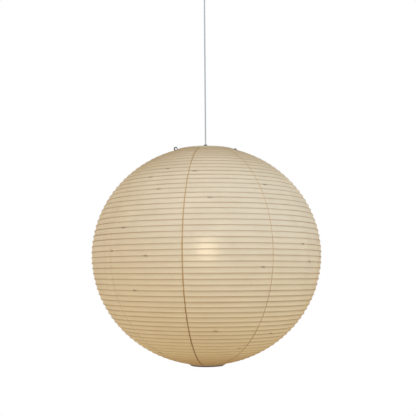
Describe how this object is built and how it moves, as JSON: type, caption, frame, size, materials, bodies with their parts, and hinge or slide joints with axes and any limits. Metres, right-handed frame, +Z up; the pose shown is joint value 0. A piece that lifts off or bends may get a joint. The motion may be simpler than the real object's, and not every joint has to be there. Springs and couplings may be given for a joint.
{
  "type": "paper lantern",
  "caption": "Round paper pendant lantern: washi gores over a bamboo spiral, wire stretcher, lamp holder and bulb, hung on a flex from a ceiling cup.",
  "frame": {"origin": "on the ceiling, where the flex's axis meets the top face of the ceiling bracket", "axes": "+Z up out of the bracket into the ceiling, so that the lantern hangs along -Z; -Y is the front, the side that the picture shows; +X is to the right seen from the front"},
  "size_m": [0.749, 0.7382, 1.3395],
  "materials": {
    "washi": "translucent mulberry paper, warm when lit",
    "bamboo": "split bamboo, satin",
    "rim_card": "paper-bound card with a brown edge",
    "steel_wire": "drawn wire, dull",
    "dark_rubber": "matt",
    "grey_rubber": "matt",
    "flex_cover": "light grey braided sleeve",
    "white_plastic": "satin",
    "ceramic": "glazed",
    "brass": "bright",
    "nickel": "nickel plated",
    "opal_glass": "opal, lit",
    "white_enamel": "satin enamel",
    "core_brown": "insulated core",
    "core_blue": "insulated core"
  },
  "bodies": {
    "ceiling": {"ceiling_bracket": "steel_wire", "ceiling_screw_left": "steel_wire", "ceiling_screw_right": "steel_wire", "canopy_cup": "white_enamel", "canopy_screw_left": "steel_wire", "canopy_screw_right": "steel_wire", "terminal_block": "ceramic", "core_brown": "core_brown", "core_blue": "core_blue", "cord_gland": "white_plastic"},
    "boot": {"flex_boot": "grey_rubber"},
    "lantern": {"flex_cord": "flex_cover", "cord_grommet": "dark_rubber", "bridge_arm_left": "steel_wire", "bridge_arm_right": "steel_wire", "bridge_ring": "steel_wire", "stretcher_leg_left": "steel_wire", "stretcher_leg_right": "steel_wire", "holder_ring": "steel_wire", "holder_bar_left": "steel_wire", "holder_bar_right": "steel_wire", "holder_shell": "white_plastic", "holder_core": "ceramic", "holder_thread": "brass", "holder_contact": "brass", "holder_cap": "white_plastic", "holder_cord_grip": "grey_rubber", "top_ring_wire": "steel_wire", "top_collar_front": "rim_card", "top_collar_back": "rim_card", "paper_gore_1": "washi", "paper_gore_2": "washi", "paper_gore_3": "washi", "paper_gore_4": "washi", "paper_gore_5": "washi", "paper_gore_6": "washi", "paper_gore_7": "washi", "paper_gore_8": "washi", "paper_gore_9": "washi", "bamboo_splint_1": "bamboo", "bamboo_splint_2": "bamboo", "bamboo_splint_3": "bamboo", "bamboo_splint_4": "bamboo", "bamboo_splint_5": "bamboo"},
    "bottom_rim": {"bottom_collar": "rim_card", "bottom_ring_wire": "steel_wire"},
    "shade_ring": {"shade_ring": "white_plastic"},
    "bulb_foot": {"bulb_tip": "nickel"},
    "bulb": {"bulb_glass": "opal_glass", "bulb_cap": "nickel", "bulb_insulator": "dark_rubber"}
  },
  "joints": [
    {"name": "flex_twist", "type": "hinge", "parent": "ceiling", "child": "boot", "pos_m": [0, 0, -0.0563], "axis": [0, 0, 1], "range_deg": [-180, 180]},
    {"name": "pendant_swing", "type": "hinge", "parent": "boot", "child": "lantern", "pos_m": [0, 0, -0.0826], "axis": [0, 1, 0], "range_deg": [-10, 10]},
    {"name": "shade_fold", "type": "slide", "parent": "lantern", "child": "bottom_rim", "axis": [0, 0, 1], "range_m": [0, 0.63], "deforming": ["paper_gore_1", "paper_gore_2", "paper_gore_3", "paper_gore_4", "paper_gore_5", "paper_gore_6", "paper_gore_7", "paper_gore_8", "paper_gore_9", "bamboo_splint_1", "bamboo_splint_2", "bamboo_splint_3", "bamboo_splint_4", "bamboo_splint_5"]},
    {"name": "shade_ring_turn", "type": "hinge", "parent": "lantern", "child": "shade_ring", "pos_m": [0, 0, -0.895], "axis": [0, 0, -1], "range_deg": [0, 720]},
    {"name": "bulb_travel", "type": "slide", "parent": "lantern", "child": "bulb_foot", "axis": [0, 0, -1], "range_m": [0, 0.0108]},
    {"name": "bulb_turn", "type": "hinge", "parent": "bulb_foot", "child": "bulb", "pos_m": [0, 0, -0.9], "axis": [0, 0, -1], "range_deg": [0, 1080]}
  ],
  "couplings": [
    {"joint": "bulb_turn", "follows": "bulb_travel", "rad_per_m": 1745.2}
  ]
}
